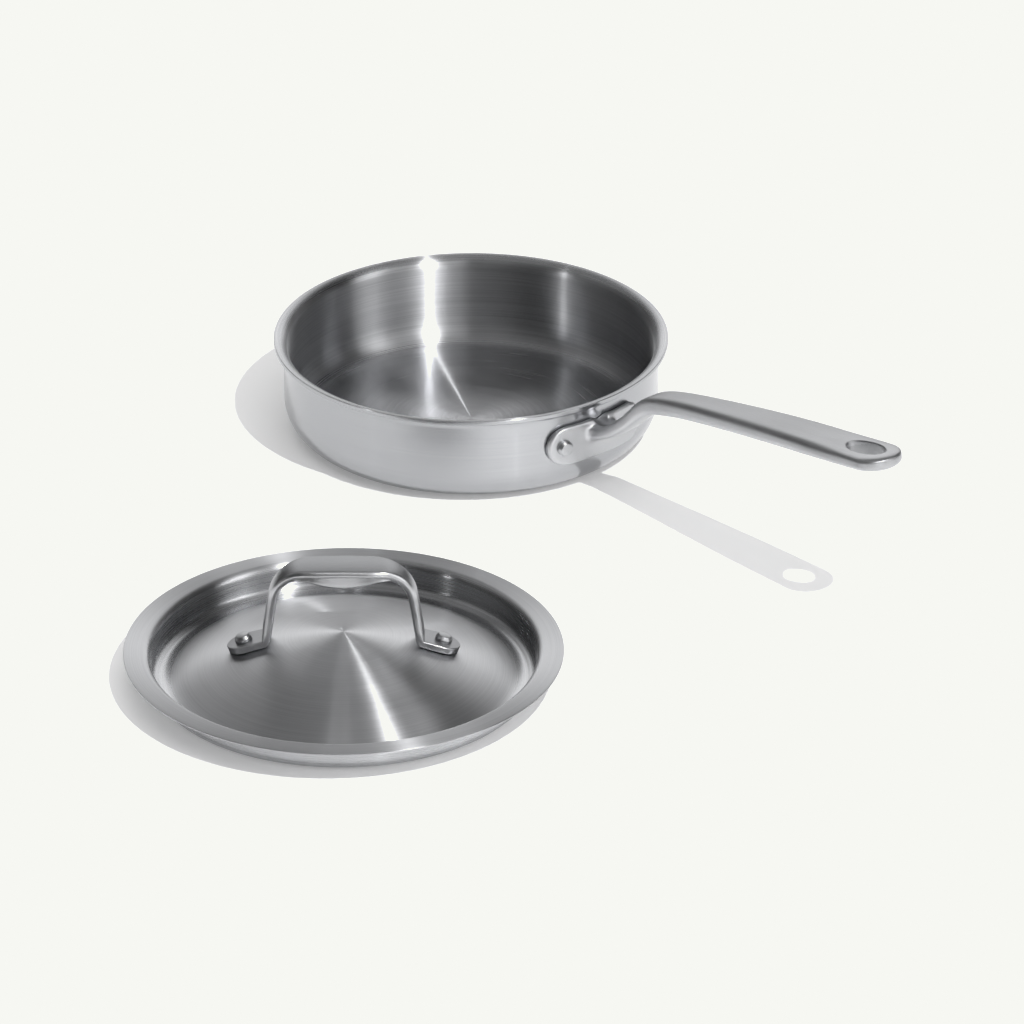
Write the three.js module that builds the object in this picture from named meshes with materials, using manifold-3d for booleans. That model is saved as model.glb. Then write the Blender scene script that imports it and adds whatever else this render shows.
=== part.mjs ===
// Saute pan with a separate lid. Millimetres, +Z up.
// The origin is the centre of the pan's flat base, and +X runs along the pan handle.
// The lid lies the right way up on the same surface, in front of the handle.
import * as THREE from 'three';
import { mergeVertices } from 'three/addons/utils/BufferGeometryUtils.js';
import { ParametricGeometry } from 'three/addons/geometries/ParametricGeometry.js';
import Module from 'manifold-3d';

const wasm = await Module();
wasm.setup();

// ---- driving dimensions ----
const SEG = 72;                 // facets round the pan and the lid
const GAP = 0.3;                // clearance between neighbouring pieces

// pan body
const PAN_H = 52.8;             // base to top of the lip
const RIM_R = 108.0;            // lip, outside
const WALL_R = 102.7;           // straight wall, outside
const WALL_T = 2.4;             // sheet thickness
const BASE_CORNER_R = 18.0;     // base corner, outside
const LIP_R = 7.0;              // top surface of the flared lip

// pan handle
const PLATE_T = 3.6;            // bracket plate thickness
const PLATE_END_R = 11.2;       // rounded ends of the plate
const PLATE_HALF = 21.8;        // plate centre to the centre of a rounded end, across the handle
const PLATE_Z = 30.4;           // height of the plate's centre line
const RIVET_Y = 24.1;           // handle centre to each rivet, across the handle
const HANDLE_TIP_X = 329.6;
const TIP_R = 14.4;             // rounded end of the grip, in plan
const HOLE_X = 309.6;           // hang hole centre
const HOLE_A = 12.0;            // hang hole half length
const HOLE_B = 7.7;             // hang hole half width
// centre line of neck and grip: x, z, half width, thickness
const SPINE = [
  [104.6, 34.9, 9.8, 9.4],
  [108.5, 35.1, 9.0, 8.6],
  [113.0, 36.7, 8.4, 7.9],
  [119.4, 40.0, 8.1, 7.6],
  [125.0, 44.1, 8.0, 7.6],
  [131.0, 49.2, 8.0, 7.7],
  [137.0, 55.2, 8.2, 8.0],
  [143.0, 61.2, 8.5, 8.6],
  [150.5, 66.3, 8.9, 9.4],
  [160.0, 69.7, 9.3, 10.1],
  [175.0, 73.4, 9.9, 10.2],
  [193.0, 76.9, 10.7, 10.2],
  [219.0, 81.5, 11.9, 10.1],
  [246.0, 85.8, 13.0, 10.0],
  [272.0, 89.5, 13.8, 9.8],
  [299.0, 92.9, 14.3, 9.2],
  [315.2, 95.1, 14.4, 8.8],
  [329.6, 97.0, 14.4, 8.6],
];

// rivets
const RIVET_SHANK_R = 3.0;
const RIVET_HEAD_R = 4.4;
const RIVET_END_R = 2.9;
const RIVET_HEAD_H = 3.5;
const PAN_RIVET_IN_R = 5.5;
const PAN_RIVET_IN_H = 1.8;
const LID_SHANK_R = 2.6;
const LID_RIVET_IN_R = 5.0;
const LID_RIVET_IN_H = 1.6;

// lid
const LID_X = 181.9, LID_Y = -245.8;   // lid centre
const LID_TURN = 48.52 * Math.PI / 180; // its handle's direction
const LID_R = 112.8;            // flange, outside
const LID_T = 1.0;              // sheet thickness
const LID_FLANGE_Z = 17.5;      // top of the flange
const LID_BEND_C = [103.1, 13.4];   // bend from flange to skirt, centre
const LID_BEND_R = 4.1;         // its top surface
const LID_SKIRT_R = 98.5;       // skirt, inside, at the groove
const LID_GROOVE_R = 5.5;       // bend from skirt to dome, top surface
const DOME_END = 90.4;          // radius where the dome meets the groove
const DOME_RISE = 25.6;         // dome height over that radius
const DOME_POWER = 1.78;        // nearly a sphere, a little conical

// lid handle
const STRAP_T = 4.0;
const STRAP_TOP_Z = 63.95;      // centre line of the strap at mid span
const FOOT_END_X = 59.0;
const FOOT_HALF_W = 8.1;
const LEG_HALF_W = 6.2;
const GRIP_HALF_W = 10.6;
const BELLY = 6.6;              // extra depth under the middle of the grip
const BELLY_HALF = 38.0;        // it runs out this far along the strap
const LID_RIVET_X = 49.8;

// ---- helpers ----
const arc = (cx, cy, r, a0, a1, n) => {
  const out = [];
  for (let i = 0; i <= n; i++) {
    const a = (a0 + (a1 - a0) * i / n) * Math.PI / 180;
    out.push([cx + r * Math.cos(a), cy + r * Math.sin(a)]);
  }
  return out;
};

function solid(geometry) {
  const g = geometry.clone();
  g.deleteAttribute('normal');
  g.deleteAttribute('uv');
  const m = mergeVertices(g, 1e-4);
  const src = m.index.array, tri = [];
  for (let i = 0; i < src.length; i += 3) {
    if (src[i] !== src[i + 1] && src[i + 1] !== src[i + 2] && src[i] !== src[i + 2]) tri.push(src[i], src[i + 1], src[i + 2]);
  }
  const p = m.attributes.position.array;
  let vol = 0;
  for (let i = 0; i < tri.length; i += 3) {
    const [a, b, c] = [tri[i] * 3, tri[i + 1] * 3, tri[i + 2] * 3];
    vol += p[a] * (p[b + 1] * p[c + 2] - p[b + 2] * p[c + 1]) - p[a + 1] * (p[b] * p[c + 2] - p[b + 2] * p[c]) + p[a + 2] * (p[b] * p[c + 1] - p[b + 1] * p[c]);
  }
  if (vol < 0) for (let i = 0; i < tri.length; i += 3) [tri[i + 1], tri[i + 2]] = [tri[i + 2], tri[i + 1]];
  return new wasm.Manifold(new wasm.Mesh({ numProp: 3, vertProperties: new Float32Array(p), triVerts: new Uint32Array(tri) }));
}

function geometryOf(body) {
  const m = body.getMesh();
  const g = new THREE.BufferGeometry();
  g.setAttribute('position', new THREE.BufferAttribute(new Float32Array(m.vertProperties), 3));
  g.setIndex(new THREE.BufferAttribute(new Uint32Array(m.triVerts), 1));
  g.computeVertexNormals();
  return g;
}

// a closed profile of [radius, height] turned round the Z axis
function turned(profile, segments = SEG) {
  const g = new THREE.LatheGeometry(profile.map(([r, h]) => new THREE.Vector2(r, h)), segments);
  g.rotateX(Math.PI / 2);
  return g;
}

// a surface swept through rings of points; the first and last ring are closed by a centre point
function lofted(rings) {
  const mid = (ring) => ring.reduce((s, q) => s.add(q), new THREE.Vector3()).multiplyScalar(1 / ring.length);
  const all = [rings[0].map(() => mid(rings[0])), ...rings, rings[rings.length - 1].map(() => mid(rings[rings.length - 1]))];
  const n = all[0].length, k = all.length - 1;
  const g = new ParametricGeometry((u, v, target) => {
    target.copy(all[Math.round(v * k)][Math.round(u * n) % n]);
  }, n, k);
  return g;
}

const along = (a, t) => {
  // smooth interpolation of a table row by its index
  const i = Math.min(a.length - 2, Math.floor(t)), f = t - i;
  const p0 = a[Math.max(0, i - 1)], p1 = a[i], p2 = a[i + 1], p3 = a[Math.min(a.length - 1, i + 2)];
  return p1.map((_, j) => 0.5 * ((2 * p1[j]) + (-p0[j] + p2[j]) * f + (2 * p0[j] - 5 * p1[j] + 4 * p2[j] - p3[j]) * f * f + (-p0[j] + 3 * p1[j] - 3 * p2[j] + p3[j]) * f * f * f));
};

const steel = (color, roughness) => new THREE.MeshStandardMaterial({ color, roughness, metalness: 1.0 });
const make = (name, geometry, material) => { const m = new THREE.Mesh(geometry, material); m.name = name; return m; };

// ---- pan body ----
const inR = WALL_R - WALL_T;
const lipC = [inR + LIP_R, PAN_H - LIP_R];
const panProfile = [
  [0, 0],
  [40, 0],
  ...arc(WALL_R - BASE_CORNER_R, BASE_CORNER_R, BASE_CORNER_R, -90, 0, 7),
  ...arc(lipC[0], lipC[1], LIP_R - WALL_T, 180, 90, 4),
  [RIM_R - 0.4, PAN_H - WALL_T],
  [RIM_R, PAN_H - WALL_T + 0.5],
  [RIM_R, PAN_H - 0.5],
  [RIM_R - 0.4, PAN_H],
  ...arc(lipC[0], lipC[1], LIP_R, 90, 180, 5),
  ...arc(WALL_R - BASE_CORNER_R, BASE_CORNER_R, BASE_CORNER_R - WALL_T, 0, -90, 6),
  [40, WALL_T],
  [0, WALL_T],
];
const rivetTurn = Math.asin(RIVET_Y / (WALL_R + GAP + PLATE_T));
const radialHole = (angle, r) => {
  const g = new THREE.CylinderGeometry(r, r, 40, 20);
  g.rotateZ(Math.PI / 2);
  g.translate(104, 0, 0);
  g.rotateZ(angle);
  g.translate(0, 0, PLATE_Z);
  return solid(g);
};
let panBody = solid(turned(panProfile));
for (const s of [-1, 1]) panBody = panBody.subtract(radialHole(s * rivetTurn, RIVET_SHANK_R + GAP));

// ---- pan handle ----
const spineAt = (t) => {
  const [x, z, w, h] = along(SPINE, t);
  const a = along(SPINE, Math.max(0, t - 0.02)), b = along(SPINE, Math.min(SPINE.length - 1, t + 0.02));
  const dx = b[0] - a[0], dz = b[1] - a[1], l = Math.hypot(dx, dz);
  return { x, z, w, h, tx: dx / l, tz: dz / l };
};
const stations = [];
for (let i = 0; i <= 14; i++) stations.push(i * 0.7);
for (const t of [10.5, 11.3, 12.1, 12.9, 13.7, 14.5, 15.25, 15.9]) stations.push(t);
const endStart = 16.0;
for (const k of [0, 0.35, 0.6, 0.78, 0.9, 0.965]) stations.push(endStart + k);
const RING = 16;
const gripRings = stations.map((t) => {
  const p = spineAt(t);
  const k = Math.max(0, (p.x - (HANDLE_TIP_X - TIP_R)) / TIP_R);
  const w = p.w * Math.sqrt(Math.max(0.0, 1 - k * k));
  const kt = Math.max(0, (p.x - (HANDLE_TIP_X - 5.6)) / 5.6);
  const h = p.h * (1 - 0.42 * kt * kt);
  const ring = [];
  for (let i = 0; i < RING; i++) {
    const a = 2 * Math.PI * (i + 0.5) / RING, c = Math.cos(a), s = Math.sin(a);
    const flat = Math.min(1, Math.max(0, (p.x - 140) / 50));
    const n = s > 0 ? 2.6 + 2.2 * flat : 2.6;
    const v = Math.sign(c) * Math.pow(Math.abs(c), 2 / n) * w;
    const y = Math.sign(s) * Math.pow(Math.abs(s), 2 / n) * h / 2;
    ring.push(new THREE.Vector3(p.x - p.tz * y, v, p.z + p.tx * y));
  }
  return ring;
});
let panHandle = solid(lofted(gripRings));
// bracket plate: a stadium outline cut out of a ring that follows the wall
const plateIn = WALL_R + GAP, plateOut = plateIn + PLATE_T;
const ring = solid(turned([[plateIn, 5], [plateOut, 5], [plateOut, 60], [plateIn, 60], [plateIn, 5]]));
const half = PLATE_HALF;
const outline = new THREE.Shape();
outline.moveTo(half, PLATE_Z - PLATE_END_R);
outline.absarc(half, PLATE_Z, PLATE_END_R, -Math.PI / 2, Math.PI / 2, false);
outline.absarc(-half, PLATE_Z, PLATE_END_R, Math.PI / 2, 3 * Math.PI / 2, false);
const prism = new THREE.ExtrudeGeometry(outline, { depth: 60, bevelEnabled: false, curveSegments: 14 });
prism.applyMatrix4(new THREE.Matrix4().makeBasis(new THREE.Vector3(0, 1, 0), new THREE.Vector3(0, 0, 1), new THREE.Vector3(1, 0, 0)));
prism.translate(70, 0, 0);
const plate = ring.intersect(solid(prism));
// shallow scoop where the neck leaves the plate, and the hang hole
const scoop = new THREE.SphereGeometry(1, 20, 12);
scoop.scale(10.1, 7.6, 8.0);
scoop.rotateY(-0.262);
scoop.translate(110.6, 0, 46.4);
const holeShape = new THREE.Shape();
holeShape.absellipse(0, 0, HOLE_A, HOLE_B, 0, Math.PI * 2, false, 0);
const hole = new THREE.ExtrudeGeometry(holeShape, { depth: 40, bevelEnabled: false, curveSegments: 14 });
hole.translate(0, 0, -20);
hole.rotateY(-0.13);
hole.translate(HOLE_X, 0, 94.4);
const wall = new THREE.CylinderGeometry(plateIn, plateIn, 200, SEG);
wall.rotateX(Math.PI / 2);
panHandle = panHandle.add(plate).subtract(solid(scoop)).subtract(solid(hole)).subtract(solid(wall));
for (const s of [-1, 1]) panHandle = panHandle.subtract(radialHole(s * rivetTurn, RIVET_SHANK_R + GAP));

// ---- rivets: lower head, shank, tapered outer end, along +Z ----
const rivet = (inTop, inR2, inH, shankR, outBase) => turned([
  [0, inTop - inH],
  [inR2 - 1.6, inTop - inH],
  [inR2 - 0.5, inTop - inH * 0.6],
  [inR2, inTop],
  [shankR, inTop],
  [shankR, outBase],
  [RIVET_HEAD_R, outBase],
  [RIVET_HEAD_R, outBase + RIVET_HEAD_H * 0.45],
  [RIVET_END_R + 0.7, outBase + RIVET_HEAD_H * 0.88],
  [RIVET_END_R, outBase + RIVET_HEAD_H],
  [0, outBase + RIVET_HEAD_H],
], 24);
const panRivet = (angle) => {
  const g = rivet(inR - GAP - 0.15, PAN_RIVET_IN_R, PAN_RIVET_IN_H, RIVET_SHANK_R, plateOut + GAP);
  g.rotateY(Math.PI / 2);
  g.rotateZ(angle);
  g.translate(0, 0, PLATE_Z);
  return geometryOf(solid(g));
};

// ---- lid shell ----
const domeSlope = (r) => DOME_RISE * DOME_POWER / DOME_END * Math.pow(r / DOME_END, DOME_POWER - 1);
const endTilt = Math.atan(domeSlope(DOME_END));
const gx = LID_SKIRT_R - LID_GROOVE_R, gz = LID_GROOVE_R + LID_T;
const domeStart = gx - LID_GROOVE_R * Math.sin(endTilt);      // where the groove's bend leaves the dome
const domeFoot = gz - LID_GROOVE_R * Math.cos(endTilt);
const domeTop = (r) => domeFoot + DOME_RISE * (Math.pow(domeStart / DOME_END, DOME_POWER) - Math.pow(Math.abs(r) / DOME_END, DOME_POWER));
const domeRadii = [0, 6, 14, 26, 40, 54, 67, 79, domeStart];
const tiltDeg = endTilt * 180 / Math.PI;
const under = (r) => { const t = Math.atan(domeSlope(r)); return [r - LID_T * Math.sin(t), domeTop(r) - LID_T * Math.cos(t)]; };
const lidProfile = [
  ...domeRadii.map((r) => [r, domeTop(r)]),
  ...arc(gx, gz, LID_GROOVE_R, 270 - tiltDeg, 360, 6).slice(1),
  ...arc(LID_BEND_C[0], LID_BEND_C[1], LID_BEND_R, 180, 90, 4),
  [LID_R - 0.3, LID_FLANGE_Z],
  [LID_R, LID_FLANGE_Z - 0.3],
  [LID_R, LID_FLANGE_Z - LID_T + 0.3],
  [LID_R - 0.3, LID_FLANGE_Z - LID_T],
  ...arc(LID_BEND_C[0], LID_BEND_C[1], LID_BEND_R - LID_T, 90, 180, 4),
  ...arc(gx, gz, LID_GROOVE_R + LID_T, 360, 270 - tiltDeg, 6),
  ...domeRadii.slice(0, -1).reverse().map(under),
];
const footTilt = Math.atan(domeSlope(LID_RIVET_X));
// places a geometry made along +Z, with 0 on the dome's top surface, at a foot
const atFoot = (g, side) => {
  g.rotateY(side * footTilt);
  g.translate(side * LID_RIVET_X, 0, domeTop(LID_RIVET_X));
  return g;
};
const footHole = (side) => solid(atFoot(new THREE.CylinderGeometry(LID_SHANK_R + GAP, LID_SHANK_R + GAP, 24, 20).rotateX(Math.PI / 2), side));
let lidShell = solid(turned(lidProfile));
for (const s of [-1, 1]) lidShell = lidShell.subtract(footHole(s));

// ---- lid handle ----
// centre line in the x, z plane from the middle of the grip to the end of the right foot
const footZ = (x) => domeTop(x) + (GAP + STRAP_T / 2) / Math.cos(Math.atan(domeSlope(x)));
const rounded = (pts, radii, n) => {
  const out = [pts[0]];
  for (let i = 1; i < pts.length - 1; i++) {
    const [p, q, r] = [pts[i - 1], pts[i], pts[i + 1]].map((a) => new THREE.Vector2(...a));
    const d0 = p.clone().sub(q).normalize(), d1 = r.clone().sub(q).normalize();
    const ang = Math.acos(d0.dot(d1)), cut = radii[i - 1] / Math.tan(ang / 2);
    const c = q.clone().add(d0.clone().add(d1).normalize().multiplyScalar(radii[i - 1] / Math.sin(ang / 2)));
    const a = q.clone().addScaledVector(d0, cut).sub(c), b = q.clone().addScaledVector(d1, cut).sub(c);
    const a0 = Math.atan2(a.y, a.x); let da = Math.atan2(b.y, b.x) - a0;
    if (da > Math.PI) da -= 2 * Math.PI; if (da < -Math.PI) da += 2 * Math.PI;
    for (let k = 0; k <= n[i - 1]; k++) out.push([c.x + radii[i - 1] * Math.cos(a0 + da * k / n[i - 1]), c.y + radii[i - 1] * Math.sin(a0 + da * k / n[i - 1])]);
  }
  return out;
};
const bendX = 39.4;
const topRun = [[0, STRAP_TOP_Z], [4, STRAP_TOP_Z - 0.02], [8, STRAP_TOP_Z - 0.08], [12, STRAP_TOP_Z - 0.17]];
const side = [...topRun, ...rounded([[16.0, STRAP_TOP_Z - 0.3], [33.2, STRAP_TOP_Z - 1.4], [bendX, footZ(bendX)], [44.5, footZ(44.5)]], [17.5, 2.6], [7, 4]),
  [47.5, footZ(47.5)], [51.2, footZ(51.2)], [53.6, footZ(53.6)], [55.4, footZ(55.4)], [57.2, footZ(57.2)], [58.4, footZ(58.4)], [58.85, footZ(58.85)]];
const path = [...side.slice(1).reverse().map(([x, z]) => [-x, z]), ...side];
const strapWidth = (x, z) => {
  const ax = Math.abs(x);
  if (ax > 45) { const k = Math.max(0, (ax - (FOOT_END_X - FOOT_HALF_W)) / FOOT_HALF_W); return FOOT_HALF_W * Math.sqrt(Math.max(0.03, 1 - k * k)); }
  if (z < 47) { const k = THREE.MathUtils.smoothstep(z, footZ(bendX), 40); return THREE.MathUtils.lerp(FOOT_HALF_W - 0.3, LEG_HALF_W + 0.2, k); }
  const k = THREE.MathUtils.smoothstep(ax, 12, 40);
  return THREE.MathUtils.lerp(GRIP_HALF_W, LEG_HALF_W, k);
};
const run = path.map(() => 0);          // length along the centre line, from mid span
const midI = path.length >> 1;
for (let i = 1; i <= midI; i++) {
  run[midI + i] = run[midI + i - 1] + Math.hypot(path[midI + i][0] - path[midI + i - 1][0], path[midI + i][1] - path[midI + i - 1][1]);
  run[midI - i] = run[midI + i];
}
const strapRings = path.map(([x, z], i) => {
  const a = path[Math.max(0, i - 1)], b = path[Math.min(path.length - 1, i + 1)];
  const dx = b[0] - a[0], dz = b[1] - a[1], l = Math.hypot(dx, dz);
  const nx = -dz / l, nz = dx / l;      // points out of the arch
  const w = strapWidth(x, z);
  const swell = run[i] < BELLY_HALF ? Math.cos(Math.PI * run[i] / (2 * BELLY_HALF)) ** 2 : 0;
  const e = 0.55;                       // edge bevel
  const h = STRAP_T / 2;
  const low = -h + e + 0.65 * Math.min(1, 2 * swell);   // lower end of the edge: the crowned grip has a thin one
  const deep = h + low + BELLY * swell;                 // crown below that
  const crown = (u) => [w * u, low - deep * Math.sqrt(1 - Math.pow(u, 2 + 6 * (1 - Math.min(1, 2 * swell))))];
  const flank = [0.93, 0.72, 0.42].map(crown);
  const section = [[-w + e, h], [w - e, h], [w, h - e], [w, low], ...flank, [0, low - deep], ...flank.reverse().map(([y, n]) => [-y, n]), [-w, low], [-w, h - e]];
  return section.map(([y, n]) => new THREE.Vector3(x + nx * n, y, z + nz * n));
});
let lidHandle = solid(lofted(strapRings));
for (const s of [-1, 1]) lidHandle = lidHandle.subtract(footHole(s));

const lidRivet = (s) => geometryOf(solid(atFoot(rivet(-LID_T - GAP, LID_RIVET_IN_R, LID_RIVET_IN_H, LID_SHANK_R, STRAP_T + 2 * GAP), s)));

// ---- assembly ----
const object = new THREE.Group();
const pan = new THREE.Group();
pan.add(
  make('pan_body', geometryOf(panBody), steel(0xb4b5b7, 0.28)),
  make('pan_handle', geometryOf(panHandle), steel(0xa9aaad, 0.33)),
  make('pan_rivet_left', panRivet(-rivetTurn), steel(0xa6a7aa, 0.3)),
  make('pan_rivet_right', panRivet(rivetTurn), steel(0xa6a7aa, 0.3)),
);
const lid = new THREE.Group();
lid.position.set(LID_X, LID_Y, 0);
lid.rotation.z = LID_TURN;
lid.add(
  make('lid_shell', geometryOf(lidShell), steel(0xafb0b2, 0.3)),
  make('lid_handle', geometryOf(lidHandle), steel(0xa9aaad, 0.33)),
  make('lid_rivet_left', lidRivet(-1), steel(0xa6a7aa, 0.3)),
  make('lid_rivet_right', lidRivet(1), steel(0xa6a7aa, 0.3)),
);
object.add(pan, lid);

export default object;
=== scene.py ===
import math

import bpy
import numpy as np
from mathutils import Matrix, Vector


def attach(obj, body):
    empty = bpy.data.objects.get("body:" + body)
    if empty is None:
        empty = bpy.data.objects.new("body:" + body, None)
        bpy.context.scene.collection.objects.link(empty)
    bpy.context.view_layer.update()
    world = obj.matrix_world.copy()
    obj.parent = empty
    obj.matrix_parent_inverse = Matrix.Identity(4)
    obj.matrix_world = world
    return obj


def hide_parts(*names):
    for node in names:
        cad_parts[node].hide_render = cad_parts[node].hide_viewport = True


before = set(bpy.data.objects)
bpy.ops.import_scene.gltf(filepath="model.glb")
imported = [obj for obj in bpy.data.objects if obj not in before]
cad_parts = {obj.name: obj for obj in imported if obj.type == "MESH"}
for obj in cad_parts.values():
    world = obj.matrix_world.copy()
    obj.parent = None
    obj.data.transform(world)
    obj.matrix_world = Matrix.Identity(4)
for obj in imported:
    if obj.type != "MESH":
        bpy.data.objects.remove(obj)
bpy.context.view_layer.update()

MM = 0.001
SEG = 256

# ------------------------------------------------------------------ dimensions, in mm, as in the CAD
PAN_H, RIM_R, WALL_R, WALL_T = 52.8, 108.0, 102.7, 2.4
BASE_CORNER_R, LIP_R = 18.0, 7.0
PLATE_IN, PLATE_T, PLATE_END_R, PLATE_HALF, PLATE_Z = 103.0, 3.6, 11.2, 21.8, 30.4
RIVET_Y = 24.1
TIP_X, TIP_R = 329.6, 14.4
HOLE_X, HOLE_Z, HOLE_A, HOLE_B = 309.6, 94.4, 12.6, 7.4
SPINE = np.array([
    [104.6, 34.9, 9.8, 9.4], [108.5, 35.1, 9.0, 8.6], [113.0, 36.7, 8.4, 7.9], [119.4, 40.0, 8.1, 7.6],
    [125.0, 44.1, 8.0, 7.6], [131.0, 49.2, 8.0, 7.7], [137.0, 55.2, 8.2, 8.0], [143.0, 61.2, 8.5, 8.6],
    [150.5, 66.3, 8.9, 9.4], [160.0, 69.7, 9.3, 10.1], [175.0, 73.4, 9.9, 10.2], [193.0, 76.9, 10.7, 10.2],
    [219.0, 81.5, 11.9, 10.1], [246.0, 85.8, 13.0, 10.0], [272.0, 89.5, 13.8, 9.8], [299.0, 92.9, 14.3, 9.2],
    [315.2, 95.1, 14.4, 8.8], [329.6, 97.0, 14.4, 8.6]])
LID_X, LID_Y, LID_TURN = 181.9, -245.8, math.radians(48.52)
LID_R, LID_T, LID_FLANGE_Z = 112.8, 1.0, 17.5
BEND_C, BEND_R = (103.1, 13.4), 4.1
SKIRT_R, GROOVE_R = 98.5, 5.5
DOME_END, DOME_RISE, DOME_POWER = 90.4, 25.6, 1.78
STRAP_T, STRAP_TOP_Z = 4.0, 63.95
FOOT_END_X, FOOT_HALF_W, LEG_HALF_W, GRIP_HALF_W = 59.0, 8.1, 6.2, 10.6
BELLY_HALF, LID_RIVET_X, BEND_X = 34.0, 49.8, 39.4
GAP = 0.3


# ------------------------------------------------------------------ mesh helpers
def arc(cx, cz, r, a0, a1, n):
    a = np.radians(np.linspace(a0, a1, n + 1))
    return [(cx + r * math.cos(t), cz + r * math.sin(t)) for t in a]


def make(name, verts, faces, normals, grain, brush, matrix=None, satin=None):
    """A smooth mesh piece. grain is a coordinate that runs across and along the brushing, brush the direction across it, satin the roughness at each point."""
    verts, normals, brush = (np.asarray(a, float) for a in (verts, normals, brush))
    if matrix is not None:
        r = np.array(matrix, float)
        verts = verts @ r[:3, :3].T + r[:3, 3]
        normals, brush = normals @ r[:3, :3].T, brush @ r[:3, :3].T
    me = bpy.data.meshes.new(name)
    me.from_pydata((verts * MM).tolist(), [], faces if isinstance(faces, list) else faces.tolist())
    me.update()
    me.polygons.foreach_set("use_smooth", np.ones(len(me.polygons), bool))
    for key, val in (("grain", grain), ("brush", brush)):
        at = me.attributes.new(key, "FLOAT_VECTOR", "POINT")
        at.data.foreach_set("vector", np.asarray(val, np.float32).ravel())
    if satin is not None:
        me.attributes.new("satin", "FLOAT", "POINT").data.foreach_set("value", np.asarray(satin, np.float32))
    me.normals_split_custom_set_from_vertices(normals.tolist())
    ob = bpy.data.objects.new(name, me)
    bpy.context.scene.collection.objects.link(ob)
    return ob


def lathe(name, profile, seg=SEG, matrix=None, finish=None, satin=None):
    """A profile of (radius, height), with the material on its left, turned round Z. finish gives each span's material and satin each point's roughness."""
    pr = [profile[0]]
    for p in profile[1:]:
        if math.hypot(p[0] - pr[-1][0], p[1] - pr[-1][1]) > 1e-5:
            pr.append(p)
    pr = np.array(pr)
    n = len(pr)
    d = np.diff(pr, axis=0)
    length = np.hypot(d[:, 0], d[:, 1])
    t = d / length[:, None]
    tang = np.vstack([t[:1], t[:-1] + t[1:], t[-1:]])
    tang /= np.linalg.norm(tang, axis=1)[:, None]
    run = np.concatenate([[0], np.cumsum(length)])
    th = np.arange(seg) * 2 * math.pi / seg
    co, si = np.cos(th), np.sin(th)
    verts, norms, grain, brush, start, dull = [], [], [], [], [], []
    for i in range(n):
        r, z = pr[i]
        tr, tz = tang[i]
        start.append(len(verts))
        if satin:
            dull += [satin(i / (n - 1), r, z)] * (1 if r < 1e-6 else seg)
        if r < 1e-6:
            verts.append((0, 0, z))
            norms.append((0, 0, -math.copysign(1, t[min(i, n - 2)][0]) * (1 if i == 0 else 1)))
            grain.append((run[i], 0, 0))
            brush.append((1, 0, 0))
            continue
        verts += list(zip(r * co, r * si, np.full(seg, z)))
        norms += list(zip(tz * co, tz * si, np.full(seg, -tr)))
        grain += list(zip(np.full(seg, run[i]), co, si))
        brush += list(zip(tr * co, tr * si, np.full(seg, tz)))
    faces, kinds = [], []
    for i in range(n - 1):
        a, b = start[i], start[i + 1]
        pa, pb = pr[i][0] < 1e-6, pr[i + 1][0] < 1e-6
        kinds += [finish(i / (n - 1), *(pr[i] + pr[i + 1]) / 2) if finish else 0] * seg
        for j in range(seg):
            k = (j + 1) % seg
            if pa:
                faces.append((a, b + k, b + j))
            elif pb:
                faces.append((a + j, a + k, b))
            else:
                faces.append((a + j, a + k, b + k, b + j))
    ob = make(name, verts, faces, norms, grain, brush, matrix, dull or None)
    ob.data.polygons.foreach_set("material_index", np.array(kinds, np.int32))
    return ob


# ------------------------------------------------------------------ pan body
in_r = WALL_R - WALL_T
lip_c = (in_r + LIP_R, PAN_H - LIP_R)
cc = WALL_R - BASE_CORNER_R
edge = 0.38
profile = [(r, 0.0) for r in (0, 0.6, 3, 10, 25, 45, 65)]
profile += arc(cc, BASE_CORNER_R, BASE_CORNER_R, -90, 0, 30)
profile += [(WALL_R, z) for z in (24, 32, 40)]
profile += arc(lip_c[0], lip_c[1], LIP_R - WALL_T, 180, 90, 16)
profile += arc(RIM_R - edge, PAN_H - WALL_T + edge, edge, -90, 0, 6)
profile += arc(RIM_R - edge, PAN_H - edge, edge, 0, 90, 6)
profile += arc(lip_c[0], lip_c[1], LIP_R, 90.6, 180, 22)
profile += [(in_r, z) for z in (40, 32, 24)]
profile += arc(cc, BASE_CORNER_R, BASE_CORNER_R - WALL_T, 0, -90, 30)
profile += [(r, WALL_T) for r in (65, 45, 25, 10, 3, 0.6, 0)]
ease = lambda x, a, b: (lambda k: k * k * (3 - 2 * k))(min(1, max(0, (x - a) / (b - a))))


def pan_satin(k, r, z):
    """Outside satin; inside a satin wall between a smoother lip and a smoother floor."""
    if k < 0.45:
        return 0.22
    return 0.25 - 0.05 * ease(r, 62, 30) + 0.15 * ease(z, WALL_T + 0.1, WALL_T + 9) + 0.08 * ease(z, 20, 40) - 0.22 * ease(z, PAN_H - 7, PAN_H - 1)


pan = lathe("pan_body_steel", profile, finish=lambda k, r, z: 0 if k < 0.5 and z < PAN_H - 0.7 else 1, satin=pan_satin)

# ------------------------------------------------------------------ pan handle: one blended solid
fine = np.linspace(0, len(SPINE) - 1, 1361)


def catmull(t):
    i = np.clip(np.floor(t).astype(int), 0, len(SPINE) - 2)
    f = (t - i)[:, None]
    p0, p1, p2, p3 = SPINE[np.maximum(i - 1, 0)], SPINE[i], SPINE[i + 1], SPINE[np.minimum(i + 2, len(SPINE) - 1)]
    return 0.5 * (2 * p1 + (p2 - p0) * f + (2 * p0 - 5 * p1 + 4 * p2 - p3) * f ** 2 + (3 * p1 - p0 - 3 * p2 + p3) * f ** 3)


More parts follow.
